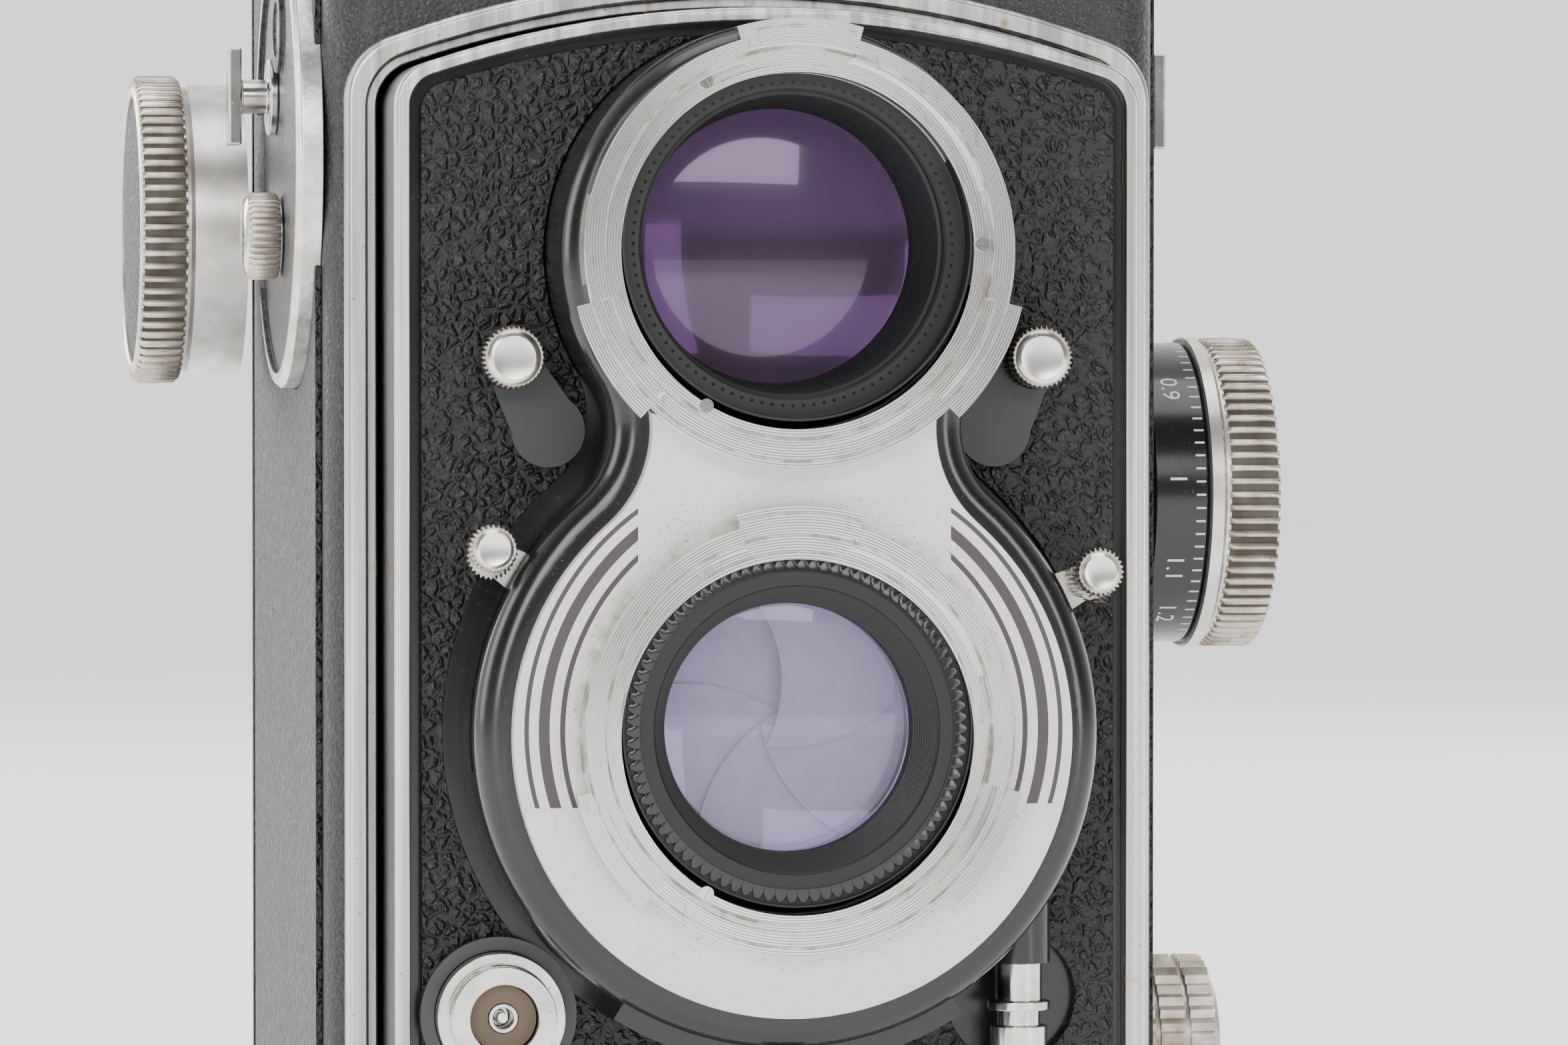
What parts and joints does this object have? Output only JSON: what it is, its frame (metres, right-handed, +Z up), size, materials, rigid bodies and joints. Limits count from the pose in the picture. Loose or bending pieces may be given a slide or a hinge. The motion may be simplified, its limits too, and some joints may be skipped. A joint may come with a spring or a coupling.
{
  "type": "twin lens reflex camera",
  "caption": "Boxy twin lens reflex film camera with stacked lenses on a moving front board, side knobs, hinged rear cover and folding viewing hood.",
  "frame": {"origin": "mouth of the tripod socket at the bottom centre, level with the feet", "axes": "+Z up, -Y the way the lenses face, -X the film advance side"},
  "size_m": [0.1025, 0.0996, 0.145],
  "materials": {
    "crackle_paint": "semi-gloss crackle",
    "black_paint": "satin",
    "matt_black": "matt",
    "leatherette": "pebbled",
    "satin_alloy": "satin",
    "bright_metal": "polished",
    "steel": "brushed",
    "lens_glass": "coated",
    "clear_glass": "clear",
    "screen_glass": "ground",
    "mirror": "polished",
    "blade_steel": "warm grey",
    "dark_lever": "charcoal",
    "brass": "plain"
  },
  "bodies": {
    "camera_body": {"body_casting": "crackle_paint", "light_box": "matt_black", "front_bezel": "satin_alloy", "leather_left": "leatherette", "leather_right": "leatherette", "reflex_mirror": "mirror", "focusing_screen": "screen_glass", "counter_panel": "satin_alloy", "counter_window": "clear_glass", "strap_lugs": "bright_metal", "hood_base": "black_paint", "hinge_pins": "steel"},
    "hood_lid": {"hood_lid": "crackle_paint"},
    "hood_left": {"hood_flap_left": "matt_black"},
    "hood_right": {"hood_flap_right": "matt_black"},
    "hood_rear": {"hood_flap_rear": "matt_black"},
    "magnifier": {"magnifier_frame": "black_paint", "magnifier_lens": "clear_glass"},
    "lens_board": {"lens_board": "black_paint", "board_trim": "satin_alloy", "board_leather": "leatherette", "shutter_housing": "black_paint", "face_plate": "satin_alloy", "viewing_bayonet": "satin_alloy", "taking_bayonet": "satin_alloy", "viewing_barrel": "matt_black", "viewing_lens": "lens_glass", "taking_barrel": "matt_black", "taking_lens": "lens_glass", "shutter_case": "matt_black", "flash_socket": "bright_metal", "cable_socket": "bright_metal"},
    "release_lever": {"release_lever": "bright_metal"},
    "speed_lever": {"speed_lever": "bright_metal"},
    "aperture_lever": {"aperture_lever": "bright_metal"},
    "selector_left": {"selector_left": "dark_lever"},
    "selector_right": {"selector_right": "dark_lever"},
    "socket_lock": {"socket_lock": "dark_lever"},
    "focus_knob": {"focus_camshaft": "steel", "focus_knob": "satin_alloy", "focus_scale": "black_paint"},
    "film_advance": {"advance_knob": "satin_alloy", "advance_shaft": "steel", "take_up_spool": "matt_black"},
    "supply_knob": {"supply_knob": "satin_alloy"},
    "take_up_button": {"take_up_button": "satin_alloy"},
    "counter_dial": {"counter_dial": "black_paint"},
    "reset_knob": {"reset_knob": "satin_alloy"},
    "roller_lower": {"film_roller_lower": "steel"},
    "roller_upper": {"film_roller_upper": "steel"},
    "rear_cover": {"rear_cover": "crackle_paint", "cover_leather": "leatherette", "tripod_socket": "bright_metal"},
    "latch_ring": {"latch_ring": "bright_metal"},
    "pressure_plate": {"pressure_plate": "black_paint"},
    "blade_1": {"shutter_blade_1": "blade_steel"},
    "blade_2": {"shutter_blade_2": "blade_steel"},
    "blade_3": {"shutter_blade_3": "blade_steel"},
    "blade_4": {"shutter_blade_4": "blade_steel"},
    "blade_5": {"shutter_blade_5": "blade_steel"}
  },
  "joints": [
    {"name": "focus_slide", "type": "slide", "parent": "camera_body", "child": "lens_board", "axis": [0, -1, 0], "range_m": [-0.006, 0.0016]},
    {"name": "focus_turn", "type": "hinge", "parent": "camera_body", "child": "focus_knob", "pos_m": [0.0385, -0.014, 0.0712], "axis": [1, 0, 0], "range_deg": [-237.34, 63.66]},
    {"name": "hood_open", "type": "hinge", "parent": "camera_body", "child": "hood_lid", "pos_m": [0, -0.0324, 0.141], "axis": [1, 0, 0], "range_deg": [0, 90]},
    {"name": "hood_left_fold", "type": "hinge", "parent": "camera_body", "child": "hood_left", "pos_m": [-0.0312, 0, 0.132], "axis": [0, -1, 0], "range_deg": [0, 90]},
    {"name": "hood_right_fold", "type": "hinge", "parent": "camera_body", "child": "hood_right", "pos_m": [0.0312, 0, 0.132], "axis": [0, 1, 0], "range_deg": [0, 90]},
    {"name": "hood_rear_fold", "type": "hinge", "parent": "camera_body", "child": "hood_rear", "pos_m": [0, 0.0245, 0.1336], "axis": [-1, 0, 0], "range_deg": [0, 90]},
    {"name": "magnifier_swing", "type": "hinge", "parent": "hood_lid", "child": "magnifier", "pos_m": [0, 0.0006, 0.1425], "axis": [-1, 0, 0], "range_deg": [0, 90]},
    {"name": "release_swing", "type": "hinge", "parent": "lens_board", "child": "release_lever", "pos_m": [0, -0.056, 0.051], "axis": [0, -1, 0], "range_deg": [-22, 22], "stiffness_Nm_per_rad": 0.02},
    {"name": "speed_set", "type": "hinge", "parent": "lens_board", "child": "speed_lever", "pos_m": [0, -0.055, 0.051], "axis": [0, -1, 0], "range_deg": [0, 30]},
    {"name": "aperture_set", "type": "hinge", "parent": "lens_board", "child": "aperture_lever", "pos_m": [0, -0.053, 0.051], "axis": [0, -1, 0], "range_deg": [-30, 0]},
    {"name": "selector_left_turn", "type": "hinge", "parent": "lens_board", "child": "selector_left", "pos_m": [-0.0199, -0.048, 0.0774], "axis": [0, -1, 0], "range_deg": [0, 60]},
    {"name": "selector_right_turn", "type": "hinge", "parent": "lens_board", "child": "selector_right", "pos_m": [0.0199, -0.048, 0.0774], "axis": [0, -1, 0], "range_deg": [-60, 0]},
    {"name": "socket_lock_turn", "type": "hinge", "parent": "lens_board", "child": "socket_lock", "pos_m": [-0.0243, -0.048, 0.0261], "axis": [0, -1, 0], "range_deg": [0, 40]},
    {"name": "advance_turn", "type": "hinge", "parent": "camera_body", "child": "film_advance", "pos_m": [-0.0385, 0.019, 0.0961], "axis": [1, 0, 0], "continuous": true},
    {"name": "counter_turn", "type": "hinge", "parent": "camera_body", "child": "counter_dial", "pos_m": [-0.0385, -0.011, 0.108], "axis": [1, 0, 0], "continuous": true},
    {"name": "reset_turn", "type": "hinge", "parent": "camera_body", "child": "reset_knob", "pos_m": [-0.04, -0.011, 0.095], "axis": [1, 0, 0], "range_deg": [0, 90]},
    {"name": "supply_pull", "type": "slide", "parent": "camera_body", "child": "supply_knob", "axis": [1, 0, 0], "range_m": [0, 0.006], "stiffness_N_per_m": 300, "springref_m": -0.002},
    {"name": "take_up_pull", "type": "slide", "parent": "camera_body", "child": "take_up_button", "axis": [1, 0, 0], "range_m": [0, 0.003], "stiffness_N_per_m": 300, "springref_m": -0.002},
    {"name": "roller_lower_spin", "type": "hinge", "parent": "camera_body", "child": "roller_lower", "pos_m": [0, 0.0246, 0.014], "axis": [1, 0, 0], "continuous": true},
    {"name": "roller_upper_spin", "type": "hinge", "parent": "camera_body", "child": "roller_upper", "pos_m": [0, 0.0246, 0.0832], "axis": [1, 0, 0], "continuous": true},
    {"name": "cover_open", "type": "hinge", "parent": "camera_body", "child": "rear_cover", "pos_m": [0, 0.0299, 0.122], "axis": [1, 0, 0], "range_deg": [0, 110]},
    {"name": "latch_turn", "type": "hinge", "parent": "rear_cover", "child": "latch_ring", "pos_m": [0, 0, 0.0005], "axis": [0, 0, 1], "range_deg": [0, 60]},
    {"name": "plate_press", "type": "slide", "parent": "rear_cover", "child": "pressure_plate", "axis": [0, 1, 0], "range_m": [0, 0.0012], "stiffness_N_per_m": 500, "springref_m": -0.001},
    {"name": "blade_1_swing", "type": "hinge", "parent": "lens_board", "child": "blade_1", "pos_m": [0, -0.051, 0.0675], "axis": [0, -1, 0], "range_deg": [0, 42]},
    {"name": "blade_2_swing", "type": "hinge", "parent": "lens_board", "child": "blade_2", "pos_m": [0.01569, -0.051, 0.0561], "axis": [0, -1, 0], "range_deg": [0, 42]},
    {"name": "blade_3_swing", "type": "hinge", "parent": "lens_board", "child": "blade_3", "pos_m": [0.0097, -0.051, 0.03765], "axis": [0, -1, 0], "range_deg": [0, 42]},
    {"name": "blade_4_swing", "type": "hinge", "parent": "lens_board", "child": "blade_4", "pos_m": [-0.0097, -0.051, 0.03765], "axis": [0, -1, 0], "range_deg": [0, 42]},
    {"name": "blade_5_swing", "type": "hinge", "parent": "lens_board", "child": "blade_5", "pos_m": [-0.01569, -0.051, 0.0561], "axis": [0, -1, 0], "range_deg": [0, 42]}
  ],
  "couplings": [
    {"joint": "focus_turn", "follows": "focus_slide", "rad_per_m": 688.95},
    {"joint": "hood_left_fold", "follows": "hood_open", "ratio": 1},
    {"joint": "hood_right_fold", "follows": "hood_open", "ratio": 1},
    {"joint": "hood_rear_fold", "follows": "hood_open", "ratio": 1},
    {"joint": "magnifier_swing", "follows": "hood_open", "ratio": 1},
    {"joint": "counter_turn", "follows": "advance_turn", "ratio": 0.1},
    {"joint": "blade_2_swing", "follows": "blade_1_swing", "ratio": 1},
    {"joint": "blade_3_swing", "follows": "blade_1_swing", "ratio": 1},
    {"joint": "blade_4_swing", "follows": "blade_1_swing", "ratio": 1},
    {"joint": "blade_5_swing", "follows": "blade_1_swing", "ratio": 1}
  ]
}
